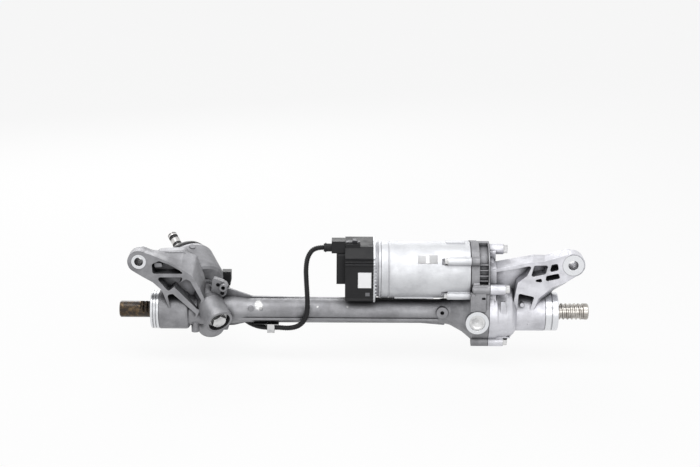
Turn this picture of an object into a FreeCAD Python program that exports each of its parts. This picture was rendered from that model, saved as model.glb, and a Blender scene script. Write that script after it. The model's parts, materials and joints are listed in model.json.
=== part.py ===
import FreeCAD, Part
import math
import os

# Electric power steering rack, belt driven, with a pinion gearbox on the left and a ball screw on the right.
# Model axes: X along the rack, -Y towards the front of the unit, +Z up, starting at mid-rack on its axis.
# The files are written with the left mounting bore's axis and front face at the origin.

# Rack and its two ends
RACK_LENGTH = 773.0
BAR_RADIUS = 13.5
RACK_TRAVEL = 75.0
BAR_SPLIT_X = 96.0
END_CHAMFER = 1.6
TIE_ROD_THREAD_RADIUS = 7.0
TIE_ROD_THREAD_DEPTH = 28.0

# Rack and pinion teeth
NORMAL_MODULE = 2.0
PINION_TEETH = 8
PINION_HELIX = math.radians(25.7)
PRESSURE_ANGLE = math.radians(20.0)
RACK_TEETH = 36
TEETH_START_X = -352.0
AXIS_DISTANCE = 17.0
MESH_BACKLASH = 0.25

# Ball screw
SCREW_LEAD = 7.0
BALL_RADIUS = 2.5
BALL_CENTRE_RADIUS = 14.2
GROOVE_RADIUS = 2.6

# Castings
LEFT_COLLAR_X = (-334.0, -320.0)
RIGHT_COLLAR_X = (313.5, 335.0)
COLLAR_RADIUS = 31.7
NECK_RADIUS = 32.0
COLLAR_BORE = 27.0
TUBE_RADIUS = 19.5
TUBE_BORE = 15.6
FLANGE_SEAM_X = 220.0
MOTOR_FACE_X = 190.0
GEAR_CASE_RADIUS = 47.0

# Mounting ears: both bores run along Y
EAR_FRONT_Y = -30.0
EAR_BACK_Y = 2.0
EAR_WEB = 5.0
BORE_BACK_Y = 10.0
LEFT_BORE = (-350.0, 90.0)
LEFT_BORE_RADIUS = 7.2
RIGHT_BORE = (355.5, 88.0)
RIGHT_BORE_RADIUS = 8.2
EAR_BOSS_RADIUS = 18.5
REAR_BOSS_RADIUS = 13.0

# Pinion gearbox: its axis leans back and up, away from the front
PINION_X = -239.0
PINION_AXIS = FreeCAD.Vector(-0.433, 0.766, 0.475)
MESH_NORMAL = FreeCAD.Vector(0.0, -0.527, 0.850)
PLUG_FACE_T = -46.0
HEAD_T = 40.0
HEAD_TOP_T = 102.0
SHAFT_TIP_T = 169.5
LOWER_BOSS_RADIUS = 23.0
PINION_CASE_RADIUS = 19.5
HEAD_RADIUS = 45.0
COVER_RADIUS = 36.0
INPUT_SHAFT_RADIUS = 8.0
YOKE_BOSS_RADIUS = 22.0
YOKE_BOSS_END = 46.0
YOKE_RADIUS = 15.0

# Motor and control unit
MOTOR_AXIS_Y = 4.0
MOTOR_AXIS_Z = 70.0
MOTOR_RADIUS = 46.5
MOTOR_START_X = 43.0
BELT_PITCH = 5.0
BELT_X = (195.0, 216.0)
BELT_THICKNESS = 3.4
MOTOR_PULLEY_TEETH = 14
NUT_PULLEY_TEETH = 38
ECU_X = (-15.0, 31.0)
ECU_HALF_HEIGHT = 46.0
HARNESS_RADIUS = 4.2

X_AXIS = FreeCAD.Vector(1, 0, 0)
Y_AXIS = FreeCAD.Vector(0, 1, 0)
Z_AXIS = FreeCAD.Vector(0, 0, 1)
LEFT_SEAT = FreeCAD.Vector(LEFT_BORE[0], EAR_FRONT_Y, LEFT_BORE[1])
HEAD_FRONT = FreeCAD.Vector(0.184, -0.444, 0.877)
PINION_AXIS.normalize()
MESH_NORMAL.normalize()
HEAD_FRONT.normalize()
PINION_CENTRE = FreeCAD.Vector(PINION_X, 0, 0) + MESH_NORMAL * AXIS_DISTANCE
MOTOR_CENTRE = FreeCAD.Vector(0, MOTOR_AXIS_Y, MOTOR_AXIS_Z)


def vec(x, y, z):
    return FreeCAD.Vector(x, y, z)


def save(name, shape):
    """Write one piece, moved so that the left mounting bore's seat is the origin."""
    piece = shape.copy()
    piece.translate(LEFT_SEAT * -1)
    piece.exportStep("parts/" + name + ".step")


def joined(shapes):
    whole = shapes[0].multiFuse(shapes[1:]) if len(shapes) > 1 else shapes[0]
    return whole.removeSplitter()


def group(shapes):
    return Part.makeCompound(shapes)


def round_bar(radius, start, direction, length):
    return Part.makeCylinder(radius, length, start, direction)


def bar_x(x0, x1, radius, y=0.0, z=0.0):
    return Part.makeCylinder(radius, x1 - x0, vec(x0, y, z), X_AXIS)


def bar_y(x, z, radius, y0, y1):
    return Part.makeCylinder(radius, y1 - y0, vec(x, y0, z), Y_AXIS)


def tube_x(x0, x1, inner, outer, y=0.0, z=0.0):
    return bar_x(x0, x1, outer, y, z).cut(bar_x(x0 - 1, x1 + 1, inner, y, z))


def turned(profile, start, direction):
    """Revolve a closed outline of (distance along the axis, radius) points about an axis."""
    points = [vec(radius, 0, along) for along, radius in profile]
    face = Part.Face(Part.makePolygon(points + [points[0]]))
    body = face.revolve(vec(0, 0, 0), Z_AXIS, 360)
    body.Placement = FreeCAD.Placement(start, FreeCAD.Rotation(Z_AXIS, direction))
    return body


def turned_x(profile, y=0.0, z=0.0):
    return turned(profile, vec(0, y, z), X_AXIS)


def rounded_wire(corners, radius, place):
    """Closed outline with a tangent arc of about the given radius at each corner."""
    count = len(corners)
    flat = [vec(a, b, 0) for a, b in corners]
    edges = []
    cuts = []
    for i, corner in enumerate(flat):
        before = flat[i - 1] - corner
        after = flat[(i + 1) % count] - corner
        half = before.getAngle(after) / 2
        reach = min(radius / math.tan(half), 0.45 * before.Length, 0.45 * after.Length)
        arc_radius = reach * math.tan(half)
        before.normalize()
        after.normalize()
        middle = before + after
        middle.normalize()
        sagitta = arc_radius / math.sin(half) - arc_radius
        cuts.append((corner + before * reach, corner + middle * sagitta, corner + after * reach))
    for i, (start, middle, end) in enumerate(cuts):
        spots = [place(p.x, p.y) for p in (start, middle, end)]
        edges.append(Part.Arc(*spots).toShape())
        following = place(cuts[(i + 1) % count][0].x, cuts[(i + 1) % count][0].y)
        edges.append(Part.LineSegment(spots[2], following).toShape())
    return Part.Wire(edges)


def slab_y(corners, radius, y0, y1):
    wire = rounded_wire(corners, radius, lambda a, b: vec(a, y0, b))
    return Part.Face(wire).extrude(vec(0, y1 - y0, 0))


def slab_x(corners, radius, x0, x1):
    wire = rounded_wire(corners, radius, lambda a, b: vec(x0, a, b))
    return Part.Face(wire).extrude(vec(x1 - x0, 0, 0))


def ruled_y(front, y0, back, y1, radius):
    """Solid between a front outline and a back outline that have matching corners."""
    wires = [
        rounded_wire(front, radius, lambda a, b: vec(a, y0, b)),
        rounded_wire(back, radius, lambda a, b: vec(a, y1, b)),
    ]
    return Part.makeLoft(wires, True, True)


def belt_outline(rack_radius, motor_radius, x0, x1):
    """Pulley-shaped slab: two circles and the straight sides that touch both."""
    centre = vec(0, MOTOR_AXIS_Y, MOTOR_AXIS_Z)
    spread = centre.Length
    lean = math.atan2(MOTOR_AXIS_Y, MOTOR_AXIS_Z)
    tip = math.acos((rack_radius - motor_radius) / spread)
    sides = []
    for side in (1, -1):
        angle = lean + side * tip
        out = vec(0, math.sin(angle), math.cos(angle))
        sides += [out * rack_radius, centre + out * motor_radius]
    corners = [sides[0], sides[1], sides[3], sides[2], sides[0]]
    middle = Part.Face(Part.makePolygon([p + vec(x0, 0, 0) for p in corners]))
    pieces = [middle.extrude(vec(x1 - x0, 0, 0)), bar_x(x0, x1, rack_radius)]
    pieces.append(bar_x(x0, x1, motor_radius, MOTOR_AXIS_Y, MOTOR_AXIS_Z))
    return joined(pieces)


def along_pinion(distance):
    return PINION_CENTRE + PINION_AXIS * distance


def hex_prism(across_flats, start, direction, length):
    corner = across_flats / math.sqrt(3)
    points = [vec(corner * math.cos(i * math.pi / 3), corner * math.sin(i * math.pi / 3), 0) for i in range(7)]
    body = Part.Face(Part.makePolygon(points)).extrude(vec(0, 0, length))
    body.Placement = FreeCAD.Placement(start, FreeCAD.Rotation(Z_AXIS, direction))
    return body


def flanged_bolt(seat, direction, thread_radius, length):
    """Hexagon flange bolt whose head stands on the seat and whose shank goes along the direction."""
    outward = direction * -1
    flange = turned([(0, 0), (0, thread_radius * 2.1), (1.2, thread_radius * 2.0), (2.2, 0)], seat, outward)
    head = hex_prism(thread_radius * 3.1, seat + outward * 1, outward, thread_radius * 1.6)
    shank = round_bar(thread_radius, seat, direction, length)
    return joined([flange, head, shank])


# Places of the bolts that hold the two castings together, as (Y, Z) about the rack axis
HOUSING_BOLTS = [(15.0, 102.4), (-41.0, 50.0), (-21.0, -45.0), (24.0, -45.0), (51.0, 6.0), (41.0, 50.0)]
HOUSING_BOLT_RADIUS = 4.0
HOUSING_BOSS_RADIUS = 8.6
BOLT_SEAT_X = 244.5


# Bolts through the motor's lugs, as angles about the motor axis, from +Y towards +Z
MOTOR_BOLT_ANGLES = (148.0, 222.0, 40.0, 320.0)
MOTOR_BOLT_CIRCLE = 50.0
MOTOR_BOLT_RADIUS = 3.0


def motor_bolt_spots():
    spots = []
    for angle in MOTOR_BOLT_ANGLES:
        turn = math.radians(angle)
        spots.append(MOTOR_CENTRE + vec(0, math.cos(turn), math.sin(turn)) * MOTOR_BOLT_CIRCLE)
    return spots


def left_ear():
    """Ribbed ear of the left casting, whose top flange twists back to the sensor head."""
    low_edge = [(-258, -4), (-289, -16), (-298, -9), (-303, 12), (-313.5, 42), (-328, 55.5), (-344, 64.5)]
    front_top = [(-360, 74.5), (-364, 100), (-345, 107.5), (-329, 101.5), (-306, 92), (-282, 79.4)]
    back_top = [(-360, 74.5), (-364, 100), (-346, 107.5), (-331, 101.5), (-312, 99.5), (-280, 101)]
    front_right = [(-263, 66), (-251, 44), (-243, 24)]
    back_right = [(-258, 92), (-247, 60), (-241, 24)]
    front = low_edge + front_top + front_right
    back = low_edge + back_top + back_right
    body = ruled_y(front, EAR_FRONT_Y, back, EAR_BACK_Y, 7.0)
    floor_y = EAR_BACK_Y - EAR_WEB
    pockets = [
        [(-329, 86), (-317, 91.5), (-302, 86), (-284, 76), (-277, 70), (-328, 70)],
        [(-323, 64), (-279, 64), (-281, 58), (-303, 40)],
        [(-295, 49), (-274, 61), (-267, 58), (-250, 26), (-252, 5), (-284, 38)],
        [(-305, 34), (-296, 36), (-259, 2), (-262, -20), (-290, -20), (-296, -6)],
    ]
    for corners in pockets:
        body = body.cut(slab_y(corners, 3.5, EAR_FRONT_Y - 1, floor_y))
    step = slab_y([(-325, 87), (-314, 87), (-312, 80), (-325, 79)], 2.5, EAR_FRONT_Y + 5, floor_y)
    boss = bar_y(LEFT_BORE[0], LEFT_BORE[1], EAR_BOSS_RADIUS, EAR_FRONT_Y, -6)
    rear = bar_y(LEFT_BORE[0], LEFT_BORE[1], REAR_BOSS_RADIUS, -8, BORE_BACK_Y)
    return joined([body, step, boss, rear])


def right_ear():
    """Ribbed ear of the right casting, with its bore in a raised machined ring."""
    front = [
        (224, 30), (222, 80), (243, 84.4), (289, 93), (308, 94.5), (330, 101), (346, 106), (370, 100),
        (373, 78), (346, 60), (322, 50), (301, 32), (292, 8), (289, -14), (270, -14), (262, 12), (244, 26),
    ]
    back = [
        (224, 30), (222, 83), (243, 87.5), (294, 97), (313, 96.5), (338, 104.5), (351, 107), (371, 100),
        (376, 74), (345, 46), (328, 36), (317, 18), (312, -4), (304, -14), (270, -14), (262, 12), (244, 26),
    ]
    body = ruled_y(front, EAR_FRONT_Y, back, EAR_BACK_Y, 6.0)
    floor_y = EAR_BACK_Y - EAR_WEB
    pockets = [
        ([(228, 34), (228, 76), (258, 81), (289, 87.5), (281, 70), (266, 58), (261, 30), (262, 18), (250, 24)], floor_y),
        ([(292, 87.5), (315, 88), (311, 73), (287, 67.5)], floor_y),
        ([(320, 89), (330, 91), (332, 80), (317, 76)], floor_y),
        ([(312, 70), (332, 74.5), (335, 66), (311, 60.5)], floor_y),
        ([(289, 61.5), (305, 66), (305.5, 58.5)], -14.0),
        ([(268, 40), (294, 34), (286, 8), (284, -18), (266, -18)], floor_y),
    ]
    for corners, depth in pockets:
        body = body.cut(slab_y(corners, 3.0, EAR_FRONT_Y - 1, depth))
    x, z = RIGHT_BORE
    boss = bar_y(x, z, EAR_BOSS_RADIUS + 1, EAR_FRONT_Y + 1.5, -4)
    ring = bar_y(x, z, EAR_BOSS_RADIUS - 1.2, EAR_FRONT_Y, -4)
    rear = bar_y(x, z, REAR_BOSS_RADIUS, -8, BORE_BACK_Y)
    return joined([body, boss, ring, rear])


def collar_profile(end_x, inner_x, grooves):
    """Outer outline of a bellows collar from its open end to the casting behind it."""
    way = 1 if inner_x > end_x else -1
    points = [(end_x, COLLAR_RADIUS - 1.2), (end_x + way * 1.2, COLLAR_RADIUS)]
    for groove_x in grooves:
        for offset, depth in ((-1.0, 0.0), (-0.6, 0.9), (0.6, 0.9), (1.0, 0.0)):
            points.append((groove_x + way * offset, COLLAR_RADIUS - depth))
    points.append((inner_x - way * 0.8, COLLAR_RADIUS))
    points.append((inner_x, NECK_RADIUS - 1.0))
    points.append((inner_x + way * 0.8, NECK_RADIUS))
    return points


def gearbox_shell():
    """Pinion barrel, lower boss with its square lug, wide sensor head and yoke boss."""
    barrel = round_bar(PINION_CASE_RADIUS, along_pinion(PLUG_FACE_T), PINION_AXIS, HEAD_T - PLUG_FACE_T + 4)
    lower = turned([(PLUG_FACE_T, 0), (PLUG_FACE_T, 22), (PLUG_FACE_T + 1, LOWER_BOSS_RADIUS), (-6, 23), (4, 20),
                    (4, 0)], PINION_CENTRE, PINION_AXIS)
    arch = turned([(26, 0), (26, 20), (28, 22.5), (33, 22.5), (36, 20), (36, 0)], PINION_CENTRE, PINION_AXIS)
    head_outline = [(HEAD_T - 6, 0), (HEAD_T - 6, 19), (HEAD_T - 2, 30), (HEAD_T, 39), (HEAD_T + 3, 43)]
    head_outline += [(HEAD_T + 9, HEAD_RADIUS), (HEAD_TOP_T - 9, HEAD_RADIUS), (HEAD_TOP_T - 3, HEAD_RADIUS - 2.5)]
    head_outline += [(HEAD_TOP_T, HEAD_RADIUS - 6), (HEAD_TOP_T, 0)]
    head = turned(head_outline, PINION_CENTRE, PINION_AXIS)
    yoke_start = vec(PINION_X, 0, 0)
    yoke = round_bar(YOKE_BOSS_RADIUS, yoke_start, MESH_NORMAL * -1, YOKE_BOSS_END)
    return [barrel, lower, arch, head, yoke]


def head_details():
    """Round ejector mark, bracket lug with its two oval recesses, and the web behind the ear."""
    lug = bar_y(-214.5, 43.0, 6.2, -20, 4)
    arms = slab_y([(-232, 58), (-214, 51), (-207, 43), (-210, 30), (-222, 20), (-236, 26)], 3, -12, 2)
    hollows = [bar_y(-223.5, 46, 3.2, -13, -6), bar_y(-216.5, 32, 3.4, -13, -6)]
    for hollow in hollows:
        arms = arms.cut(hollow)
    mark = round_bar(5.0, along_pinion(89) + HEAD_FRONT * 40, HEAD_FRONT, 6.2)
    back_corners = [(-331, 97), (-303, 99), (-280, 100), (-262, 84), (-246, 50), (-262, 10), (-292, 40)]
    front_web = slab_y(back_corners, 8, -3, 24)
    return [lug, arms, mark, front_web]


def left_casting():
    """Left housing: ear, collar, gearbox, long tube and the motor-side half of the gear case."""
    outer = [(LEFT_COLLAR_X[0], 0)]
    outer += collar_profile(LEFT_COLLAR_X[0], LEFT_COLLAR_X[1], (-329.5, -325.0))
    outer += [(-276, NECK_RADIUS), (-273, NECK_RADIUS - 1.5), (-271, 27), (-262, 24.5), (-214, 24), (-196, 22.5)]
    outer += [(-176, TUBE_RADIUS), (140, TUBE_RADIUS), (158, 23), (178, 34), (MOTOR_FACE_X, 44)]
    outer += [(MOTOR_FACE_X + 3, GEAR_CASE_RADIUS), (FLANGE_SEAM_X, GEAR_CASE_RADIUS), (FLANGE_SEAM_X, 0)]
    solids = [turned_x(outer), left_ear()]
    solids += gearbox_shell()
    solids += head_details()
    solids.append(bar_x(MOTOR_FACE_X, FLANGE_SEAM_X, MOTOR_RADIUS + 0.8, MOTOR_AXIS_Y, MOTOR_AXIS_Z))
    solids.append(slab_x([(-44, 0), (-44, 62), (46, 62), (46, 0)], 4, MOTOR_FACE_X + 3, FLANGE_SEAM_X))
    for spot in motor_bolt_spots():
        solids.append(round_bar(7.0, spot + X_AXIS * MOTOR_FACE_X, X_AXIS, 12.5))
    for y, z in HOUSING_BOLTS:
        solids.append(bar_x(192.5, FLANGE_SEAM_X, HOUSING_BOSS_RADIUS, y, z))
    body = joined(solids)
    groove = tube_x(203, 217.5, 41.5, 60, MOTOR_AXIS_Y, MOTOR_AXIS_Z)
    groove = groove.common(Part.makeBox(15, 70, 62, vec(202.8, -70, 58.5)))
    body = body.cut(groove)
    ribs = []
    for height in (63.5, 72.0, 81.0, 89.5):
        rib = Part.makeBox(15.5, 60, 1.8, vec(202.6, -48, height))
        ribs.append(rib.common(bar_x(202, 218.5, MOTOR_RADIUS - 0.6, MOTOR_AXIS_Y, MOTOR_AXIS_Z)))
    column = slab_y([(189, 13), (189, 46), (214, 46), (214, 13)], 2, -47, -20)
    lip = slab_y([(191, 48), (191, 56), (216, 56), (216, 48)], 2, -48.5, -20)
    disc = bar_y(193.0, 41.0, 3.0, -48.2, -40)
    boss = bar_y(200.6, -5.2, 19.0, -49, -10)
    tube_boss = bar_y(144.6, 4.0, 9.5, -25, 0)
    mark = bar_y(-169.5, 8.0, 4.0, -20.2, -10)
    splash = bar_y(-153.0, 7.5, 2.6, -20.0, -10)
    top_fin = slab_y([(-214, 34), (-206, 35), (-168, 21.5), (-60, 19.8), (120, 19.8), (120, 10), (-214, 10)], 2, 4, 9)
    low_ridge = slab_y([(-205, -12), (-205, -8), (138, -8), (138, -12)], 1.5, -19.4, -12)
    keel = slab_y([(-226, -27), (-198, -26), (-178, -21), (110, -20.6), (150, -24), (150, -8), (-226, -8)], 2, -3, 3)
    foot = round_bar(6.5, vec(-262, -10, -14), Z_AXIS * -1, 21)
    clip_lug = slab_y([(-221, -30), (-208, -30), (-205, -20), (-221, -18)], 2, -16, -4)
    extras = ribs + [column, lip, disc, boss, tube_boss, mark, splash, top_fin, low_ridge, keel, foot, clip_lug]
    return joined([body] + extras)


def hollow_left(body):
    """Bores of the left casting: rack, bush, gearbox, yoke, belt space and threaded holes."""
    cuts = [bar_x(LEFT_COLLAR_X[0] - 1, -304, COLLAR_BORE), bar_x(-305, -280, 17.0)]
    cuts.append(bar_x(-281, 194, TUBE_BORE))
    cuts.append(bar_x(193, FLANGE_SEAM_X + 1, 36.0))
    cuts.append(belt_outline(36.0, 17.0, 193, FLANGE_SEAM_X + 1))
    cuts.append(bar_x(MOTOR_FACE_X - 1, 194, 15.0, MOTOR_AXIS_Y, MOTOR_AXIS_Z))
    cuts.append(round_bar(14.0, along_pinion(PLUG_FACE_T + 11), PINION_AXIS, 9))
    cuts.append(round_bar(18.4, along_pinion(PLUG_FACE_T - 1), PINION_AXIS, 12))
    cuts.append(round_bar(12.5, along_pinion(-30), PINION_AXIS, 56))
    cuts.append(round_bar(16.0, along_pinion(22), PINION_AXIS, 26))
    cuts.append(round_bar(34.0, along_pinion(47), PINION_AXIS, HEAD_TOP_T - 46))
    cuts.append(round_bar(YOKE_RADIUS + 0.05, vec(PINION_X, 0, 0), MESH_NORMAL * -1, YOKE_BOSS_END + 1))
    cuts.append(bar_y(LEFT_BORE[0], LEFT_BORE[1], LEFT_BORE_RADIUS, EAR_FRONT_Y - 1, BORE_BACK_Y + 1))
    cuts.append(bar_y(144.6, 4.0, 3.3, -26, -17))
    cuts.append(bar_y(-214.5, 43.0, 3.3, -21, -6))
    cuts.append(bar_y(-214, -25, 2.6, -17, -10))
    cuts.append(bar_y(200.6, -5.2, 13.0, -50, -42))
    cuts.append(bar_y(200.6, -5.2, 10.3, -43, -34))
    cuts.append(slab_y([(207, 34), (207, 38), (213, 38), (213, 34)], 1.5, -48, -43))
    for y, z in HOUSING_BOLTS:
        cuts.append(bar_x(191, FLANGE_SEAM_X + 1, HOUSING_BOLT_RADIUS + 0.3, y, z))
    cuts.append(bar_x(MOTOR_START_X - 5, MOTOR_FACE_X, MOTOR_RADIUS + 0.9, MOTOR_AXIS_Y, MOTOR_AXIS_Z))
    for spot in motor_bolt_spots():
        cuts.append(round_bar(MOTOR_BOLT_RADIUS, spot + X_AXIS * (MOTOR_FACE_X - 1), X_AXIS, 13))
        cuts.append(round_bar(7.4, spot + X_AXIS * 140, X_AXIS, MOTOR_FACE_X - 140))
    for cut in cuts:
        body = body.cut(cut)
    return body


def right_casting():
    """Right housing: bell over the ball nut, nose with its collar, upper case and ear."""
    outer = [(FLANGE_SEAM_X, 0), (FLANGE_SEAM_X, GEAR_CASE_RADIUS), (233, GEAR_CASE_RADIUS), (236, 45.5)]
    outer += [(250, 44.5), (258, 42), (263, 37), (266, NECK_RADIUS), (RIGHT_COLLAR_X[0] - 0.8, NECK_RADIUS)]
    collar = collar_profile(RIGHT_COLLAR_X[1], RIGHT_COLLAR_X[0], (324.5,))
    outer += list(reversed(collar))
    outer.append((RIGHT_COLLAR_X[1], 0))
    solids = [turned_x(outer), right_ear()]
    solids.append(belt_outline(GEAR_CASE_RADIUS, 21.0, FLANGE_SEAM_X, 228))
    solids.append(slab_x([(-38, 20), (-30, 84), (30, 90), (40, 20)], 8, FLANGE_SEAM_X, 231))
    for y, z in HOUSING_BOLTS:
        solids.append(bar_x(FLANGE_SEAM_X, BOLT_SEAT_X, HOUSING_BOSS_RADIUS, y, z))
    solids.append(slab_x([(4, 80), (4, 102), (22, 104), (26, 80)], 3, FLANGE_SEAM_X, 232))
    solids.append(slab_y([(222, -52), (250, -52), (258, -36), (222, -34)], 2, -27, 28))
    for wall_y in (-44.0, -40.5):
        solids.append(slab_y([(238, -8), (238, 30), (246, 30), (250, -8)], 1, wall_y, wall_y + 2))
    solids.append(bar_y(274, 21, 3.2, -32.5, -20))
    return joined(solids)


def hollow_right(body):
    """Bores of the right casting: nut space, bearing seat, nose bore and bolt holes."""
    cuts = [bar_x(FLANGE_SEAM_X - 1, 242, 41.0), bar_x(241, 266, 27.0), bar_x(265, RIGHT_COLLAR_X[1] + 1, COLLAR_BORE)]
    cuts.append(bar_x(FLANGE_SEAM_X - 1, 224, 17.0, MOTOR_AXIS_Y, MOTOR_AXIS_Z))
    x, z = RIGHT_BORE
    cuts.append(bar_y(x, z, RIGHT_BORE_RADIUS, EAR_FRONT_Y - 1, BORE_BACK_Y + 1))
    for y, z in HOUSING_BOLTS:
        cuts.append(bar_x(FLANGE_SEAM_X - 1, 246, HOUSING_BOLT_RADIUS + 0.3, y, z))
        cuts.append(bar_x(BOLT_SEAT_X, BOLT_SEAT_X + 14, HOUSING_BOSS_RADIUS + 0.6, y, z))
    for cut in cuts:
        body = body.cut(cut)
    return body




def rack_tooth_gap(x):
    """Trapezoid space between two rack teeth, straight across the bar."""
    pitch_height = AXIS_DISTANCE - pinion_pitch_radius()
    root = pitch_height - 1.25 * NORMAL_MODULE
    top = BAR_RADIUS + 1
    slope = math.tan(PRESSURE_ANGLE)
    half_pitch = math.pi * NORMAL_MODULE / 4 + MESH_BACKLASH
    low = half_pitch - (pitch_height - root) * slope
    high = half_pitch + (top - pitch_height) * slope
    across = X_AXIS.cross(MESH_NORMAL)
    corners = [(-low, root), (low, root), (high, top), (-high, top)]
    points = [vec(x + a, 0, 0) + MESH_NORMAL * b + across * -16 for a, b in corners]
    return Part.Face(Part.makePolygon(points + [points[0]])).extrude(across * 32)


def pinion_pitch_radius():
    return PINION_TEETH * NORMAL_MODULE / (2 * math.cos(PINION_HELIX))


def rack_bar():
    """Toothed bar: flat along the teeth, threaded bore for the left tie rod."""
    start = -RACK_LENGTH / 2
    profile = [(start, 0), (start, BAR_RADIUS - END_CHAMFER), (start + END_CHAMFER, BAR_RADIUS)]
    profile += [(BAR_SPLIT_X, BAR_RADIUS), (BAR_SPLIT_X, 0)]
    body = turned_x(profile)
    pitch = math.pi * NORMAL_MODULE
    length = RACK_TEETH * pitch
    tip_height = AXIS_DISTANCE - pinion_pitch_radius() + NORMAL_MODULE - 0.1
    across = X_AXIS.cross(MESH_NORMAL)
    corner = vec(TEETH_START_X, 0, 0) + MESH_NORMAL * tip_height + across * -16
    points = [corner, corner + X_AXIS * length, corner + X_AXIS * length + across * 32, corner + across * 32]
    flat = Part.Face(Part.makePolygon(points + [points[0]])).extrude(MESH_NORMAL * 8)
    body = body.cut(flat)
    first = PINION_X - math.floor((PINION_X - TEETH_START_X) / pitch - 0.5) * pitch
    gaps = [rack_tooth_gap(first + i * pitch) for i in range(RACK_TEETH - 1)]
    body = body.cut(Part.makeCompound(gaps))
    return body.cut(bar_x(start - 1, start + TIE_ROD_THREAD_DEPTH, TIE_ROD_THREAD_RADIUS))


def helix_sweep(corners, lead, turns, radius, start, direction):
    """Outline of (radius, height) corners swept round an axis; turn by turn, so its faces stay short."""
    turn = Part.makeHelix(lead, lead, radius).Edges[0]
    edges = []
    for i in range(turns):
        edge = turn.copy()
        edge.translate(Z_AXIS * (lead * i))
        edges.append(edge)
    points = [vec(a, 0, b) for a, b in corners]
    sweep = Part.BRepOffsetAPI.MakePipeShell(Part.Wire(edges))
    sweep.setFrenetMode(True)
    sweep.add(Part.makePolygon(points + [points[0]]))
    sweep.build()
    sweep.makeSolid()
    body = sweep.shape()
    body.Placement = FreeCAD.Placement(start, FreeCAD.Rotation(Z_AXIS, direction))
    return body


def ball_track():
    """Helical groove of the ball track, as a solid to cut away."""
    bottom = BALL_CENTRE_RADIUS - GROOVE_RADIUS
    corners = [(bottom, -1.5), (bottom, 1.5), (BAR_RADIUS + 0.4, 2.85), (BAR_RADIUS + 0.4, -2.85)]
    start = vec(SCREW_TRACK_X, 0, 0)
    return helix_sweep(corners, SCREW_LEAD, SCREW_TURNS, BALL_CENTRE_RADIUS, start, X_AXIS)


def ball_screw():
    """Screw end of the rack with its ball track and the bore for the right tie rod."""
    end = RACK_LENGTH / 2
    profile = [(BAR_SPLIT_X, 0), (BAR_SPLIT_X, BAR_RADIUS), (end - END_CHAMFER, BAR_RADIUS)]
    profile += [(end, BAR_RADIUS - END_CHAMFER), (end, 0)]
    body = turned_x(profile)
    body = body.cut(bar_x(end - TIE_ROD_THREAD_DEPTH, end + 1, TIE_ROD_THREAD_RADIUS))
    return body.cut(ball_track())


def track_ball(turn):
    """One ball in the track, the given number of turns from the track's start."""
    angle = 2 * math.pi * turn
    centre = FreeCAD.Rotation(Z_AXIS, X_AXIS).multVec(
        vec(BALL_CENTRE_RADIUS * math.cos(angle), BALL_CENTRE_RADIUS * math.sin(angle), 0))
    return Part.makeSphere(BALL_RADIUS, centre + vec(SCREW_TRACK_X + SCREW_LEAD * turn, 0, 0))


def pulley(teeth, hub_radius, x0, x1, y, z):
    """Belt pulley with round-bottomed tooth gaps and a plain bore."""
    radius = pulley_radius(teeth)
    body = bar_x(x0, x1, radius, y, z)
    gaps = []
    for i in range(teeth):
        angle = 2 * math.pi * i / teeth
        reach = radius + 0.2
        gaps.append(bar_x(x0 - 1, x1 + 1, 1.35, y + reach * math.cos(angle), z + reach * math.sin(angle)))
    body = body.cut(Part.makeCompound(gaps))
    return body.cut(bar_x(x0 - 1, x1 + 1, hub_radius, y, z))


def pulley_radius(teeth):
    return teeth * BELT_PITCH / (2 * math.pi) - 0.57


# Ball track on the screw, in turns from its first groove
SCREW_TRACK_X = 112.0
SCREW_TURNS = 38
# Ball nut, its bearing and the circuit of balls
NUT_X = (193.0, 262.0)
NUT_RADIUS = 21.0
NUT_BORE = 13.9
NUT_TRACK_TURNS = (14.0, 19.0)
NUT_BALLS = 20
NUT_PULLEY_X = (194.0, 217.0)
BEARING_X = (226.0, 242.0)
BEARING_BALLS = 12
BEARING_BALL_RADIUS = 4.5


def ball_nut():
    """Nut with a seat for its pulley, a collar for its bearing and a relieved ball chamber."""
    profile = [(NUT_X[0], NUT_BORE), (NUT_X[0], NUT_RADIUS - 1), (NUT_X[0] + 1, NUT_RADIUS), (217.5, NUT_RADIUS)]
    profile += [(217.5, 25.0), (BEARING_X[0], 25.0), (BEARING_X[0], NUT_RADIUS)]
    profile += [(NUT_X[1] - 1, NUT_RADIUS), (NUT_X[1], NUT_RADIUS - 1), (NUT_X[1], NUT_BORE)]
    chamber = [SCREW_TRACK_X + turn * SCREW_LEAD for turn in NUT_TRACK_TURNS]
    profile += [(chamber[1], NUT_BORE), (chamber[1] - 2, 16.8), (chamber[0] + 2, 16.8), (chamber[0], NUT_BORE)]
    return turned_x(profile)


def ball(radius, centre):
    """Steel ball as a turned outline of six equal chords."""
    points = [(-radius * math.cos(i * math.pi / 6), radius * math.sin(i * math.pi / 6)) for i in range(7)]
    points[0] = (-radius, 0)
    points[-1] = (radius, 0)
    return turned(points, centre, X_AXIS)


def track_ball(turn):
    """One ball in the track, the given number of turns from the track's start."""
    angle = 2 * math.pi * turn
    radial = vec(BALL_CENTRE_RADIUS * math.cos(angle), BALL_CENTRE_RADIUS * math.sin(angle), 0)
    centre = FreeCAD.Rotation(Z_AXIS, X_AXIS).multVec(radial)
    return ball(BALL_RADIUS, centre + vec(SCREW_TRACK_X + SCREW_LEAD * turn, 0, 0))


def nut_balls():
    first, last = NUT_TRACK_TURNS
    step = (last - first - 2.0) / NUT_BALLS
    return group([track_ball(first + 1.0 + step * i) for i in range(NUT_BALLS)])


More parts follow.
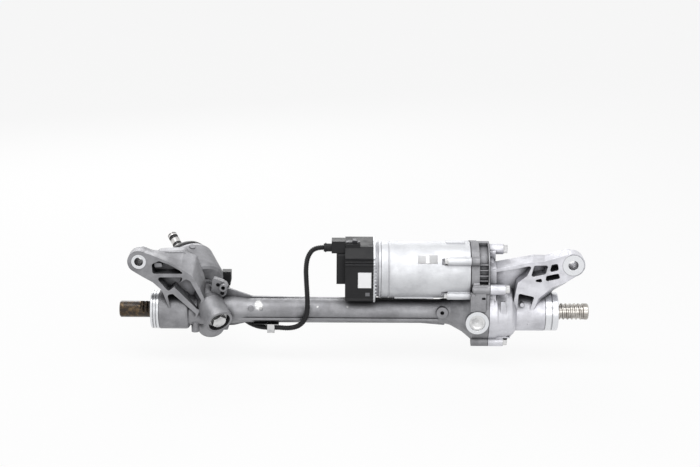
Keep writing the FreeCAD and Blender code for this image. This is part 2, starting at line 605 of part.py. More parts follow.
def pulley(teeth, bore_radius, x0, x1, y, z):
    """Belt pulley with round-bottomed tooth gaps and a plain bore."""
    radius = pulley_radius(teeth)
    body = bar_x(x0, x1, radius, y, z)
    gaps = []
    for i in range(teeth):
        angle = 2 * math.pi * i / teeth
        reach = radius + 0.2
        gaps.append(bar_x(x0 - 1, x1 + 1, 1.35, y + reach * math.cos(angle), z + reach * math.sin(angle)))
    body = body.cut(Part.makeCompound(gaps))
    return body.cut(bar_x(x0 - 1, x1 + 1, bore_radius, y, z))


def pulley_radius(teeth):
    return teeth * BELT_PITCH / (2 * math.pi) - 0.57


def ring_of_balls(x, radius, pitch_radius, count, y=0.0, z=0.0):
    balls = []
    for i in range(count):
        angle = 2 * math.pi * i / count
        spot = vec(x, y + pitch_radius * math.cos(angle), z + pitch_radius * math.sin(angle))
        balls.append(ball(radius, spot))
    return balls


def bearing_races(x0, x1, bore, outer, gap_in, gap_out, ball_radius, y=0.0, z=0.0):
    """Inner race and outer race of a ball bearing, each with its round track."""
    middle = (x0 + x1) / 2
    pitch = (gap_in + gap_out) / 2
    track = Part.makeTorus(pitch, ball_radius + 0.05, vec(middle, y, z), X_AXIS)
    inner = tube_x(x0, x1, bore, gap_in, y, z).cut(track)
    outer_race = tube_x(x0, x1, gap_out, outer, y, z).cut(track)
    return inner, outer_race


def belt():
    """Belt loop whose inside runs on the tips of both pulleys."""
    clearance = 0.06
    inside = belt_outline(pulley_radius(NUT_PULLEY_TEETH) + clearance,
                          pulley_radius(MOTOR_PULLEY_TEETH) + clearance, BELT_X[0] - 1, BELT_X[1] + 1)
    outside = belt_outline(pulley_radius(NUT_PULLEY_TEETH) + BELT_THICKNESS,
                           pulley_radius(MOTOR_PULLEY_TEETH) + BELT_THICKNESS, BELT_X[0], BELT_X[1])
    return outside.cut(inside)


def pinion_section(distance):
    """Cross-section of the helical pinion, turned by the helix at that distance along the axis."""
    pitch_radius = pinion_pitch_radius()
    root = pitch_radius - 1.2 * NORMAL_MODULE
    tip = pitch_radius + 0.9 * NORMAL_MODULE
    twist = -math.tan(PINION_HELIX) / pitch_radius * distance
    step = 2 * math.pi / PINION_TEETH
    points = []
    for i in range(PINION_TEETH):
        middle = twist + i * step
        for offset, radius in ((-0.36, root), (-0.225, pitch_radius), (-0.10, tip), (0.10, tip),
                               (0.225, pitch_radius), (0.36, root)):
            angle = middle + offset * step
            points.append(vec(radius * math.cos(angle), radius * math.sin(angle), distance))
    return Part.makePolygon(points + [points[0]])


def pinion_frame():
    """Placement whose Z is the pinion axis and whose X points from the pinion to the rack."""
    side = MESH_NORMAL * -1
    across = PINION_AXIS.cross(side)
    rotation = FreeCAD.Rotation(side, across, PINION_AXIS, "ZXY")
    return FreeCAD.Placement(PINION_CENTRE, rotation)


def pinion_shaft():
    """Helical pinion between its two journals, hollow at the top for the torsion bar."""
    steps = 12
    half = 21.0
    sections = [pinion_section(-half + 2 * half * i / steps) for i in range(steps + 1)]
    teeth = Part.makeLoft(sections, True, True)
    teeth.Placement = pinion_frame()
    lower = round_bar(6.0, along_pinion(-27.4), PINION_AXIS, 8)
    upper = turned([(20, 0), (20, 8), (36, 8), (36, 12), (50, 12), (50, 0)], PINION_CENTRE, PINION_AXIS)
    body = joined([teeth, lower, upper])
    body = body.cut(round_bar(8.5, along_pinion(40), PINION_AXIS, 11))
    return body.cut(round_bar(2.6, along_pinion(28), PINION_AXIS, 13))


def input_shaft():
    """Steering input shaft: grooved and flatted tip, hollow from below for the torsion bar."""
    tip = SHAFT_TIP_T
    profile = [(41, 0), (41, 8.4), (50.3, 8.4), (50.3, 9.5), (96, 9.5), (96, INPUT_SHAFT_RADIUS)]
    profile += [(tip - 31, INPUT_SHAFT_RADIUS), (tip - 30, 7.2), (tip - 27, 7.2), (tip - 26, INPUT_SHAFT_RADIUS)]
    profile += [(tip - 15, INPUT_SHAFT_RADIUS), (tip - 14, 6.6), (tip - 10, 6.6), (tip - 9, INPUT_SHAFT_RADIUS)]
    profile += [(tip - 2.5, INPUT_SHAFT_RADIUS), (tip, 5.5), (tip, 0)]
    body = turned(profile, PINION_CENTRE, PINION_AXIS)
    return body.cut(round_bar(3.6, along_pinion(40), PINION_AXIS, 82))


def yoke():
    """Support yoke: a plunger whose cradle fits the back of the bar."""
    away = MESH_NORMAL * -1
    start = vec(PINION_X, 0, 0)
    body = round_bar(YOKE_RADIUS, start + away * 6, away, 26)
    body = body.cut(bar_x(PINION_X - 20, PINION_X + 20, BAR_RADIUS + 0.06))
    return body.cut(round_bar(8.0, start + away * 22, away, 12))


def coil_spring(start, direction, radius, wire, length, turns):
    corners = [(radius - wire, -wire), (radius + wire, -wire), (radius + wire, wire), (radius - wire, wire)]
    return helix_sweep(corners, length / turns, turns, radius, start, direction)


# Sensor, plugs and seals on the pinion axis
RACK_BUSH_X = (-303.0, -284.0)
SENSOR_T = (56.0, 80.0)


def on_pinion(profile):
    return turned(profile, PINION_CENTRE, PINION_AXIS)


def pinion_end_plug():
    """Threaded plug under the pinion, turned by a large hexagon."""
    base = on_pinion([(-35, 0), (-35, 13.9), (-28, 13.9), (-28, 0)])
    flange = on_pinion([(-38, 0), (-38, 16.6), (-37, 17.6), (-35, 17.6), (-35, 0)])
    head = hex_prism(21.5, along_pinion(-38), PINION_AXIS * -1, 8.4)
    bevel = on_pinion([(-46.4, 0), (-46.4, 11.0), (-44.6, 12.9), (-37, 13.0), (-37, 0)])
    plug = joined([base, flange, head.common(bevel)])
    return plug.cut(round_bar(6.3, along_pinion(-34.2), PINION_AXIS, 7))


def torque_sensor():
    """Sensor ring with its small circuit tab, around the joint between the two shafts."""
    low, high = SENSOR_T
    ring = on_pinion([(low, 17), (low, 30), (high, 30), (high, 26), (low + 8, 26), (low + 8, 17)])
    return ring


def sensor_cover():
    """Cap on the sensor head with a raised neck for the input seal."""
    top = HEAD_TOP_T
    return on_pinion([
        (top - 6, 14), (top - 6, 33.95), (top, 33.95), (top, COVER_RADIUS + 1), (top + 4, COVER_RADIUS + 1),
        (top + 6, COVER_RADIUS - 1), (top + 8, 24), (top + 14, 22.5), (top + 15, 21), (top + 15, 17.1),
        (top + 8, 17.1), (top + 8, 14),
    ])


def dust_seal():
    """Rubber boot ring with two lips that closes the cover round the input shaft."""
    top = HEAD_TOP_T
    return on_pinion([
        (top + 8.1, INPUT_SHAFT_RADIUS + 0.3), (top + 8.1, 17), (top + 16, 17), (top + 18, 15.5), (top + 20, 12),
        (top + 24, 10.5), (top + 25, INPUT_SHAFT_RADIUS + 0.3),
    ])


def sensor_connector():
    """Plastic connector on the side of the sensor head, with its socket facing down."""
    side = vec(0.86, 0.51, -0.04)
    side.normalize()
    stub = round_bar(5.0, along_pinion(54) + side * (HEAD_RADIUS - 2), side, 8)
    stub = stub.cut(round_bar(HEAD_RADIUS, along_pinion(45), PINION_AXIS, 18))
    centre = along_pinion(54) + side * (HEAD_RADIUS + 11)
    box = Part.makeBox(15, 18, 17, centre + vec(-7.5, -9, -6))
    hood = Part.makeBox(12, 15, 10, centre + vec(-6, -7.5, -13))
    return joined([stub, box, hood]), centre


def bolt_set(spots, direction, thread_radius, length):
    return group([flanged_bolt(spot, direction, thread_radius, length) for spot in spots])


def housing_bolts():
    bolts = []
    for y, z in HOUSING_BOLTS:
        seat = vec(BOLT_SEAT_X, y, z)
        bolts.append(flanged_bolt(seat, X_AXIS * -1, HOUSING_BOLT_RADIUS, seat.x - 196))
    return group(bolts)


def motor_housing():
    """Motor can: closed towards the belt, with four bolt lugs and a turned seam groove."""
    start = MOTOR_START_X
    profile = [(start, 42), (start, MOTOR_RADIUS - 0.8), (start + 1, MOTOR_RADIUS), (start + 12, MOTOR_RADIUS)]
    profile += [(start + 12.6, MOTOR_RADIUS - 0.8), (start + 14, MOTOR_RADIUS - 0.8), (start + 14.6, MOTOR_RADIUS)]
    profile += [(MOTOR_FACE_X - 1.6, MOTOR_RADIUS), (MOTOR_FACE_X, MOTOR_RADIUS - 1.6), (MOTOR_FACE_X, 13)]
    profile += [(MOTOR_FACE_X - 7, 13), (MOTOR_FACE_X - 7, 42)]
    solids = [turned_x(profile, MOTOR_AXIS_Y, MOTOR_AXIS_Z)]
    bore = bar_x(start - 1, MOTOR_FACE_X - 7, 42, MOTOR_AXIS_Y, MOTOR_AXIS_Z)
    cuts = [bore]
    for spot in motor_bolt_spots():
        out = spot - MOTOR_CENTRE
        out.normalize()
        solids.append(round_bar(6.5, spot + X_AXIS * 152, X_AXIS, MOTOR_FACE_X - 152))
        solids.append(round_bar(6.5, spot - out * 4 + X_AXIS * 152, X_AXIS, MOTOR_FACE_X - 152))
        cuts.append(round_bar(MOTOR_BOLT_RADIUS + 0.3, spot + X_AXIS * 150, X_AXIS, 42))
        cuts.append(round_bar(6.9, spot + X_AXIS * 142, X_AXIS, 10))
    tab = Part.makeBox(30, 12, 6, vec(150, -2, MOTOR_AXIS_Z + MOTOR_RADIUS - 4.4))
    rail = Part.makeBox(64, 4, 3.2, vec(66, -18, MOTOR_AXIS_Z - MOTOR_RADIUS + 3))
    body = joined(solids + [tab, rail])
    for cut in cuts:
        body = body.cut(cut)
    return body


def motor_stator():
    """Laminated stator ring with twelve inward teeth."""
    x0, x1 = 74.0, 160.0
    y, z = MOTOR_AXIS_Y, MOTOR_AXIS_Z
    body = tube_x(x0, x1, 25.6, 41.95, y, z)
    slots = []
    for i in range(12):
        slot = Part.makeBox(x1 - x0 + 2, 7.0, 9.5, vec(x0 - 1, -3.5, 27.5))
        slot.rotate(vec(0, 0, 0), X_AXIS, i * 30)
        slot.translate(vec(0, y, z))
        slots.append(slot)
    return body.cut(Part.makeCompound(slots))


def motor_rotor():
    return tube_x(76, 158, 6, 25.2, MOTOR_AXIS_Y, MOTOR_AXIS_Z)


def motor_shaft():
    profile = [(49, 0), (49, 5.2), (49.8, 6), (BELT_X[1] + 1.2, 6), (BELT_X[1] + 2, 5.2), (BELT_X[1] + 2, 0)]
    return turned_x(profile, MOTOR_AXIS_Y, MOTOR_AXIS_Z)


def simple_bearing(x0, x1, bore, outer, y=0.0, z=0.0):
    """Shielded ball bearing seen as one ring with a groove for each shield."""
    step = (outer - bore) * 0.28
    profile = [(x0, bore), (x0, bore + step), (x0 + 0.7, bore + step), (x0 + 0.7, outer - step), (x0, outer - step)]
    profile += [(x0, outer), (x1, outer), (x1, outer - step), (x1 - 0.7, outer - step), (x1 - 0.7, bore + step)]
    profile += [(x1, bore + step), (x1, bore)]
    return turned_x(profile, y, z)


def ecu_outline(margin):
    """Front, top and back of the control unit as (Y, Z) corners, drawn in by a margin."""
    m = margin
    return [
        (-40 + m, 33 + m), (-43 + m, 40 + m), (-43 + m, 88 - m), (-45 + m, 89 - m), (-45 + m, 92 - m),
        (-38 + m, 93 - m), (-38 + m, 98 - m), (-40 + m, 99 - m), (-39 + m, 101 - m), (-24 + m, 116 - m),
        (38 - m, 116 - m), (50 - m, 104 - m), (50 - m, 36 + m), (40 - m, 25 + m), (-30 + m, 25 + m),
    ]


def ecu_cover():
    """Moulded cover of the control unit, open towards the motor, with a raised label field."""
    x0, x1 = ECU_X
    body = slab_x(ecu_outline(0), 2.5, x0, x1)
    hollow = slab_x(ecu_outline(9), 2.0, x0 + 3, x1 + 1)
    field = slab_y([(5, 46), (29, 46), (29, 79), (5, 79)], 1.5, -43.6, -40)
    bar = Part.makeBox(24, 16, 9, vec(x0 + 0.5, -26, 112))
    return joined([body.cut(hollow), field, bar])


def ecu_flange():
    """Ribbed aluminium plate between the control unit and the motor."""
    x0 = ECU_X[1]
    body = slab_x(ecu_outline(-1.0), 3, x0, x0 + 3)
    ring = bar_x(x0 + 3, MOTOR_START_X, MOTOR_RADIUS + 1.2, MOTOR_AXIS_Y, MOTOR_AXIS_Z)
    ribs = []
    for i in range(8):
        ribs.append(Part.makeBox(8, 5, 2.2, vec(x0 + 1, -45.5, 40 + 6.0 * i)))
    body = joined([body, ring] + ribs)
    body = body.cut(tube_x(x0 + 5, x0 + 9, MOTOR_RADIUS - 1.6, 60, MOTOR_AXIS_Y, MOTOR_AXIS_Z))
    body = body.cut(bar_x(x0 + 5, MOTOR_START_X + 1, 38.0, MOTOR_AXIS_Y, MOTOR_AXIS_Z))
    hub = tube_x(x0 + 5, x0 + 27, 13, 17, MOTOR_AXIS_Y, MOTOR_AXIS_Z)
    return joined([body, hub])


def circuit_board():
    """Board behind the cover, with its row of capacitors."""
    board = Part.makeBox(1.6, 56, 56, vec(20, -23, 42))
    cans = [bar_x(8, 20, 5.0, -14 + 12 * i, 90) for i in range(4)]
    return joined([board] + cans)


# Sockets of the connector block as (Y range, Z range); the top one takes the sensor plug
MAIN_SOCKETS = [((-22.0, -2.0), (58.0, 76.0)), ((-22.0, -2.0), (80.0, 98.0))]
CONNECTOR_X = (-29.0, -15.0)
PLUG_X = (-37.0, -15.0)
PLUG_Y = (-24.0, 0.0)
PLUG_Z = (104.5, 124.5)


def ecu_connector_block():
    """Black connector block on the end of the control unit with two open sockets."""
    x0, x1 = CONNECTOR_X
    body = slab_x([(-28, 53), (-28, 104), (4, 104), (4, 53)], 3, x0, x1)
    for (y0, y1), (z0, z1) in MAIN_SOCKETS:
        body = body.cut(Part.makeBox(11, y1 - y0, z1 - z0, vec(x0 - 1, y0, z0)))
        body = body.fuse(Part.makeBox(8, y1 - y0 - 8, 3, vec(x0 + 3, y0 + 4, (z0 + z1) / 2 - 1.5)))
    return joined([body])


def harness_connector():
    """Sensor plug on top of the block, with its collar where the conduit starts."""
    body = Part.makeBox(PLUG_X[1] - PLUG_X[0], PLUG_Y[1] - PLUG_Y[0], PLUG_Z[1] - PLUG_Z[0],
                        vec(PLUG_X[0], PLUG_Y[0], PLUG_Z[0]))
    start = HARNESS_ROUTE[0]
    neck = round_bar(6.6, vec(*start), X_AXIS, PLUG_X[0] - start[0] + 1)
    ridge = round_bar(7.6, vec(start[0] + 2, start[1], start[2]), X_AXIS, 2.4)
    return joined([body, neck, ridge])


def connector_clip():
    """Bent sheet clip that locks the plug to the control unit."""
    z = PLUG_Z[1] - 3.5
    foot = slab_y([(-15, 121.1), (-15, 122.6), (9, 122.6), (9, 121.1)], 0.5, -21, -9)
    crest = slab_y([(-4, 122), (-3, z + 4.4), (4, z + 4.4), (5, 122)], 1.2, -21, -9)
    return joined([foot, crest])


# Route of the sensor harness from the plug, down in front of the tube, under it and up to the sensor head
HARNESS_ROUTE = [
    (-50.0, -12.0, 111.0), (-65.0, -12.0, 111.0), (-76.0, -17.0, 98.0), (-79.0, -22.0, 79.0),
    (-78.0, -26.0, 57.0), (-76.5, -29.0, 34.0), (-76.0, -30.0, 13.0), (-79.0, -28.0, -6.0),
    (-90.0, -23.0, -20.5), (-107.0, -17.5, -26.5), (-126.0, -13.5, -26.0), (-146.0, -8.0, -28.5),
    (-164.0, 3.0, -29.0), (-181.0, 18.0, -25.0), (-197.0, 35.0, -16.0), (-208.5, 50.0, -1.0),
]


def harness_route():
    """Route points with the last run on the connector's own axis."""
    mouth = sensor_connector()[1] + vec(0, 0, -13)
    return [vec(*p) for p in HARNESS_ROUTE] + [mouth - Z_AXIS * 12, mouth]


def sensor_harness():
    """Conduit as straight runs joined by tangent arcs; prints its radii, length and volume."""
    points = harness_route()
    edges = []
    last = points[0]
    radii = []
    for i in range(1, len(points) - 1):
        before = points[i - 1] - points[i]
        after = points[i + 1] - points[i]
        half = before.getAngle(after) / 2
        reach = 0.45 * min(before.Length, after.Length)
        radius = reach * math.tan(half)
        radii.append(round(radius, 1))
        before.normalize()
        after.normalize()
        middle = before + after
        middle.normalize()
        inner = points[i] + middle * (radius / math.sin(half) - radius)
        edges.append(Part.LineSegment(last, points[i] + before * reach).toShape())
        last = points[i] + after * reach
        edges.append(Part.Arc(points[i] + before * reach, inner, last).toShape())
    edges.append(Part.LineSegment(last, points[-1]).toShape())
    path = Part.Wire(edges)
    heading = points[1] - points[0]
    ring = Part.Wire([Part.makeCircle(HARNESS_RADIUS, points[0], heading)])
    tube = path.makePipeShell([ring], True, True)
    expected = math.pi * HARNESS_RADIUS ** 2 * path.Length
    print("harness radii", radii)
    print("harness length", round(path.Length, 1), "volume ratio", round(tube.Volume / expected, 4))
    return tube


def harness_clip():
    """Plastic saddle that holds the conduit under the tube by two small straps."""
    along = vec(*HARNESS_ROUTE[10]) - vec(*HARNESS_ROUTE[9])
    along.normalize()
    middle = (vec(*HARNESS_ROUTE[10]) + vec(*HARNESS_ROUTE[9])) * 0.5 - along * 3
    band = round_bar(HARNESS_RADIUS + 1.8, middle, along, 6)
    band = band.cut(round_bar(HARNESS_RADIUS + 0.1, middle - along * 1, along, 8))
    up = vec(0, 0.45, 0.893)
    arm = Part.makeBox(5, 3, 8, middle + vec(-2.5, 0.4, 4.4))
    return joined([band, arm.cut(bar_x(-300, 0, TUBE_RADIUS))])


def inspection_plug():
    """Pressed plug in the front boss of the gear case, with a dished face."""
    axis = vec(200.6, -49, -5.2)
    return turned([(2.5, 0), (2.0, 7.5), (1.2, 9.6), (1.2, 12.95), (7, 12.95), (7, 10.2), (9, 10.2), (9, 0)],
                  axis, Y_AXIS)


def yoke_plug():
    away = MESH_NORMAL * -1
    body = round_bar(YOKE_RADIUS, vec(PINION_X, 0, 0) + away * 38, away, 7)
    return body.cut(hex_prism(14, vec(PINION_X, 0, 0) + away * 41, away, 5))


os.makedirs("parts", exist_ok=True)
MOTOR_YZ = (MOTOR_AXIS_Y, MOTOR_AXIS_Z)
PIECES = {
    "rack_housing": hollow_left(left_casting()),
    "gear_housing": hollow_right(right_casting()),
    "rack_bar": rack_bar(),
    "ball_screw": ball_screw(),
    "rack_bush": tube_x(RACK_BUSH_X[0], RACK_BUSH_X[1], BAR_RADIUS + 0.06, 17.0),
    "ball_nut": ball_nut(),
    "nut_balls": nut_balls(),
    "nut_pulley": pulley(NUT_PULLEY_TEETH, NUT_RADIUS, NUT_PULLEY_X[0], NUT_PULLEY_X[1], 0, 0),
    "toothed_belt": belt(),
    "bearing_lock_ring": tube_x(220.6, BEARING_X[0], 30.0, 40.95),
    "pinion_shaft": pinion_shaft(),
    "pinion_lower_bearing": on_pinion([(-27.8, 6.05), (-27.8, 12.5), (-22, 12.5), (-22, 6.05)]),
    "pinion_upper_bearing": on_pinion([(24, 8.05), (24, 15.95), (34, 15.95), (34, 8.05)]),
    "pinion_end_plug": pinion_end_plug(),
    "torsion_bar": on_pinion([(28.5, 0), (28.5, 2.5), (121, 2.5), (121, 0)]),
    "input_shaft": input_shaft(),
    "input_bearing": on_pinion([(97, 8.06), (97, 13.95), (107, 13.95), (107, 8.06)]),
    "torque_sensor": torque_sensor(),
    "sensor_cover": sensor_cover(),
    "dust_seal": dust_seal(),
    "sensor_connector": sensor_connector()[0],
    "rack_yoke": yoke(),
    "yoke_spring": coil_spring(vec(PINION_X, 0, 0) - MESH_NORMAL * 23, MESH_NORMAL * -1, 6.0, 1.1, 13.8, 4),
    "yoke_plug": yoke_plug(),
    "motor_housing": motor_housing(),
    "motor_stator": motor_stator(),
    "motor_rotor": motor_rotor(),
    "motor_shaft": motor_shaft(),
    "motor_front_bearing": simple_bearing(182, 190, 6.05, 12.95, *MOTOR_YZ),
    "motor_rear_bearing": simple_bearing(50, 57, 6.05, 12.95, *MOTOR_YZ),
    "motor_seal": tube_x(190.2, 192.8, 6.15, 14.95, *MOTOR_YZ),
    "motor_pulley": pulley(MOTOR_PULLEY_TEETH, 6.0, BELT_X[0], BELT_X[1], *MOTOR_YZ),
    "ecu_flange": ecu_flange(),
    "ecu_cover": ecu_cover(),
    "circuit_board": circuit_board(),
    "ecu_connector_block": ecu_connector_block(),
    "harness_connector": harness_connector(),
    "connector_clip": connector_clip(),
    "sensor_harness": sensor_harness(),
    "harness_clip": harness_clip(),
    "inspection_plug": inspection_plug(),
    "housing_bolts": housing_bolts(),
    "motor_bolts": bolt_set([s + X_AXIS * 152 for s in motor_bolt_spots()], X_AXIS, MOTOR_BOLT_RADIUS, 48),
}
INNER_RACE, OUTER_RACE = bearing_races(*BEARING_X, NUT_RADIUS, 41.0, 28.0, 34.5, BEARING_BALL_RADIUS)
PIECES["nut_bearing_inner"] = INNER_RACE
PIECES["nut_bearing_outer"] = OUTER_RACE
PIECES["nut_bearing_balls"] = group(ring_of_balls(234, BEARING_BALL_RADIUS, 31.25, BEARING_BALLS))
for name, shape in PIECES.items():
    save(name, shape)
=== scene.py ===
import bmesh
import bpy
import json
import math
from mathutils import Matrix, Vector


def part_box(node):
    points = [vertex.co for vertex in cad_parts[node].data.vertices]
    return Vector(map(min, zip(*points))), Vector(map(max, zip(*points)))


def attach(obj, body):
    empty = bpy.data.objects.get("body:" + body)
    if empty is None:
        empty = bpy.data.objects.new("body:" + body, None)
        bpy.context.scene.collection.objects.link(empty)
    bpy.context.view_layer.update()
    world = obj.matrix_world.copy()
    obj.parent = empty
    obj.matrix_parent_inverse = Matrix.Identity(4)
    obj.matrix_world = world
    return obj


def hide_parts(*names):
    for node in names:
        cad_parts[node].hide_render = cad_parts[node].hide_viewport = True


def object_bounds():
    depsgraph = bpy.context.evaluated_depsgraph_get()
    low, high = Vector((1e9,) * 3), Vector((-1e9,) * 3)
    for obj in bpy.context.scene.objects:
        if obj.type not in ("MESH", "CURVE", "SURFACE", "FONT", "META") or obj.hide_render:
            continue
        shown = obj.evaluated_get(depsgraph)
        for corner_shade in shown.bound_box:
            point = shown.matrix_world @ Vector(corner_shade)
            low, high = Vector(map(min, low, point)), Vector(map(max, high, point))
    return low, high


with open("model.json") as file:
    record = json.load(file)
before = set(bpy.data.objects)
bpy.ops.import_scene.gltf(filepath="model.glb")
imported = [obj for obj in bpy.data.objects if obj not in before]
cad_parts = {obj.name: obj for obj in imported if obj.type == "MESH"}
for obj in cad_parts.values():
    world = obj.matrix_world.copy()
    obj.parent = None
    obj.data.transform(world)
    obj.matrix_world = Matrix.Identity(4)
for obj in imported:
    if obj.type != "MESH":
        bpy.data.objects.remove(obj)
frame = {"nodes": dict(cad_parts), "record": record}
CAD_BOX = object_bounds()
NODES = frame["nodes"]
MM = 0.001

# The rack's middle, from its two halves: every place below is in millimetres from there
BAR_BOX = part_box("rack_bar")
SCREW_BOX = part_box("ball_screw")
RACK = Vector((
    (BAR_BOX[0][0] + SCREW_BOX[1][0]) / 2,
    (SCREW_BOX[0][1] + SCREW_BOX[1][1]) / 2,
    (SCREW_BOX[0][2] + SCREW_BOX[1][2]) / 2,
))


def at(x, y, z):
    """Place in the frame of a point given in millimetres from the middle of the rack."""
    return RACK + Vector((x, y, z)) * MM


JOINTS = {joint["name"]: joint for joint in frame["record"]["behaviour"]["joints"]}
PINION = Vector(JOINTS["pinion_turn"]["pos_m"])
PINION_AXIS = Vector(JOINTS["pinion_turn"]["axis"]).normalized()
MOTOR = Vector(JOINTS["motor_spin"]["pos_m"])


# Node maths and finishes

class Value:
    """A shader socket that works in Python sums: 1 - mask adds the Math node for it."""

    def __init__(self, graph, socket):
        self.graph = graph
        self.socket = socket

    def sum(self, operation, first, second=0.0):
        return self.graph.node("Math", {"operation": operation}, {0: first, 1: second})

    def __add__(self, other):
        return self.sum("ADD", self, other)

    def __radd__(self, other):
        return self.sum("ADD", other, self)

    def __sub__(self, other):
        return self.sum("SUBTRACT", self, other)

    def __rsub__(self, other):
        return self.sum("SUBTRACT", other, self)

    def __mul__(self, other):
        return self.sum("MULTIPLY", self, other)

    def __rmul__(self, other):
        return self.sum("MULTIPLY", other, self)

    def __truediv__(self, other):
        return self.sum("DIVIDE", self, other)

    def __pow__(self, other):
        return self.sum("POWER", self, other)

    def __gt__(self, other):
        return self.sum("GREATER_THAN", self, other)

    def __lt__(self, other):
        return self.sum("LESS_THAN", self, other)

    def clamped(self):
        return self.graph.node("Clamp", {}, {0: self})


class Graph:
    """Node tree whose nodes are made, set and joined by one call each."""

    def __init__(self, tree):
        self.tree = tree

    def node(self, kind, settings, inputs, output=0):
        item = self.tree.nodes.new("ShaderNode" + kind)
        for key, value in settings.items():
            if key == "stops":
                self.fill_ramp(item.color_ramp, value)
            else:
                setattr(item, key, value)
        for key, value in inputs.items():
            self.feed(item.inputs[key], value)
        return Value(self, item.outputs[output]) if item.outputs else None

    def fill_ramp(self, ramp, stops):
        while len(ramp.elements) < len(stops):
            ramp.elements.new(0.5)
        for element, (place, shade) in zip(ramp.elements, stops):
            element.position = place
            element.color = shade if len(shade) == 4 else (*shade, 1)

    def feed(self, socket, value):
        if isinstance(value, Value):
            self.tree.links.new(value.socket, socket)
        else:
            socket.default_value = value

    def looked_at(self):
        """1 where the camera, a gloss or a clear piece looks straight at a surface, or else 0."""
        rays = ("Is Camera Ray", "Is Glossy Ray", "Is Transmission Ray")
        camera, gloss, clear = [self.node("LightPath", {}, {}, ray) for ray in rays]
        return (camera + gloss + clear).clamped()


class Finish(Graph):
    """One material: a Principled shader and the nodes that vary it over the surface."""

    def __init__(self, name, **constants):
        self.material = bpy.data.materials.new(name)
        self.material.use_nodes = True
        super().__init__(self.material.node_tree)
        self.shader = self.tree.nodes["Principled BSDF"]
        for socket, value in constants.items():
            self.shader.inputs[socket.replace("_", " ")].default_value = value

    def set(self, name, value):
        self.feed(self.shader.inputs[name], value)

    def place(self, scale=(1, 1, 1)):
        """Object coordinates, stretched along an axis where the scale is not even."""
        spot = self.node("TexCoord", {}, {}, "Object")
        return self.node("Mapping", {}, {"Vector": spot, "Scale": scale})

    def axes(self):
        spot = self.node("TexCoord", {}, {}, "Object")
        return [self.node("SeparateXYZ", {}, {"Vector": spot}, axis) for axis in "XYZ"]

    def along(self, point, axis):
        """Distance of the surface along an axis from a point, in metres."""
        x, y, z = self.axes()
        return (x - point.x) * axis.x + (y - point.y) * axis.y + (z - point.z) * axis.z

    def noise(self, scale, detail=4.0, rough=0.55, stretch=(1, 1, 1)):
        inputs = {"Vector": self.place(stretch), "Scale": scale, "Detail": detail, "Roughness": rough}
        return self.node("TexNoise", {}, inputs, "Fac")

    def band(self, value, low, high):
        """0 below low, 1 above high, smooth between."""
        return self.node("MapRange", {"interpolation_type": "SMOOTHSTEP"}, {0: value, 1: low, 2: high})

    def recess(self, reach):
        """1 on open surfaces, falling to 0 in corners and pockets."""
        settings = {"samples": 6, "only_local": False}
        return self.node("AmbientOcclusion", settings, {"Distance": reach}, "AO")

    def blend(self, factor, first, second):
        """Mix of two colours."""
        inputs = {0: factor, 6: self.shade(first), 7: self.shade(second)}
        return self.node("Mix", {"data_type": "RGBA"}, inputs, 2)

    def shade(self, colour):
        return colour if isinstance(colour, Value) else (*colour, 1)

    def relief(self, height, distance, strength=1.0, rounding=0.0):
        """Bump from a height, over edges rounded by a small radius."""
        inputs = {"Height": height, "Distance": distance, "Strength": strength}
        if rounding:
            inputs["Normal"] = self.node("Bevel", {"samples": 4}, {"Radius": rounding})
        self.set("Normal", self.node("Bump", {}, inputs))


def distance_from(finish, point, along_x=False):
    """Distance of the surface from a line through a point, along X or along Y, in metres."""
    x, y, z = finish.axes()
    across = y - point.y if along_x else x - point.x
    above = z - point.z
    return (across * across + above * above) ** 0.5


# Depth of a cut face, and how far the painted shade ring at a seat's edge reaches out and in, in metres
CUT_DEPTH = 0.0006
RIM_OUT = 0.0004
RIM_IN = 0.0003


def machined_zones(skin, zones):
    """Masks of the bright cut faces and of the painted shade rings at the edges of the round ones.

    A collar lies beyond an X plane, to the left where its radius is negative, and a seat on a Y plane.
    """
    x, y, z = skin.axes()
    cut, rim_shade = 0.0, 0.0
    for kind, place, size in zones:
        if kind == "collar":
            beyond = (x < place.x) if size < 0 else (x > place.x)
            cut = beyond * (distance_from(skin, place, True) < abs(size)) + cut
        else:
            reach = distance_from(skin, place)
            level = (y < place.y + CUT_DEPTH) * (y > place.y - CUT_DEPTH)
            cut = level * (reach < size) + cut
            rim_shade = level * (reach < size + RIM_OUT) * (reach > size - RIM_IN) + rim_shade
    return cut.clamped(), rim_shade


CUT_BRIGHT = (0.80, 0.81, 0.83)
CUT_GREY = (0.52, 0.53, 0.56)
# Painted shade colour for the corners and grooves of cut faces
CUT_CORNER_SHADE = (0.04, 0.04, 0.045)
# Painted shade colour for the ring at a seat's edge
RIM_SHADE_DARK = (0.08, 0.08, 0.085)


def cut_faces(skin, zones, tone, rough, height):
    """The casting's tone, roughness and height with its turned and milled faces laid over them, with painted
    shade in the cut faces' corners and a painted shade ring at each seat's edge.
    """
    cut, rim_shade = machined_zones(skin, zones)
    rings = skin.noise(1300, 2, 0.5, (1, 0.03, 0.03))
    # Painted shade: cut faces go near black in their corners and grooves, where less light reaches
    cut_shade = 1 - skin.band(skin.recess(0.0025), 0.45, 0.95)
    metal = skin.blend(rings * 0.5, CUT_BRIGHT, CUT_GREY)
    tone = skin.blend(cut, tone, skin.blend(cut_shade * 0.9, metal, CUT_CORNER_SHADE))
    # Painted shade: a dark ring at each seat's edge, for the shade in the gap around it
    tone = skin.blend(rim_shade * 0.7, tone, RIM_SHADE_DARK)
    rough = rough * (1 - cut) + cut * (0.22 + rings * 0.14)
    height = height * (1 - cut) + rings * cut * 0.3
    return tone, rough, height


SEAM_HALF_WIDTH = 0.00055
SEAM_DARK = (0.03, 0.03, 0.033)
# White of the chalk, also used for the painted highlights on the tube's small bosses
CHALK_AND_HIGHLIGHT_WHITE = (0.78, 0.78, 0.77)
CHALK_AND_HIGHLIGHT_DEPTH = 0.012


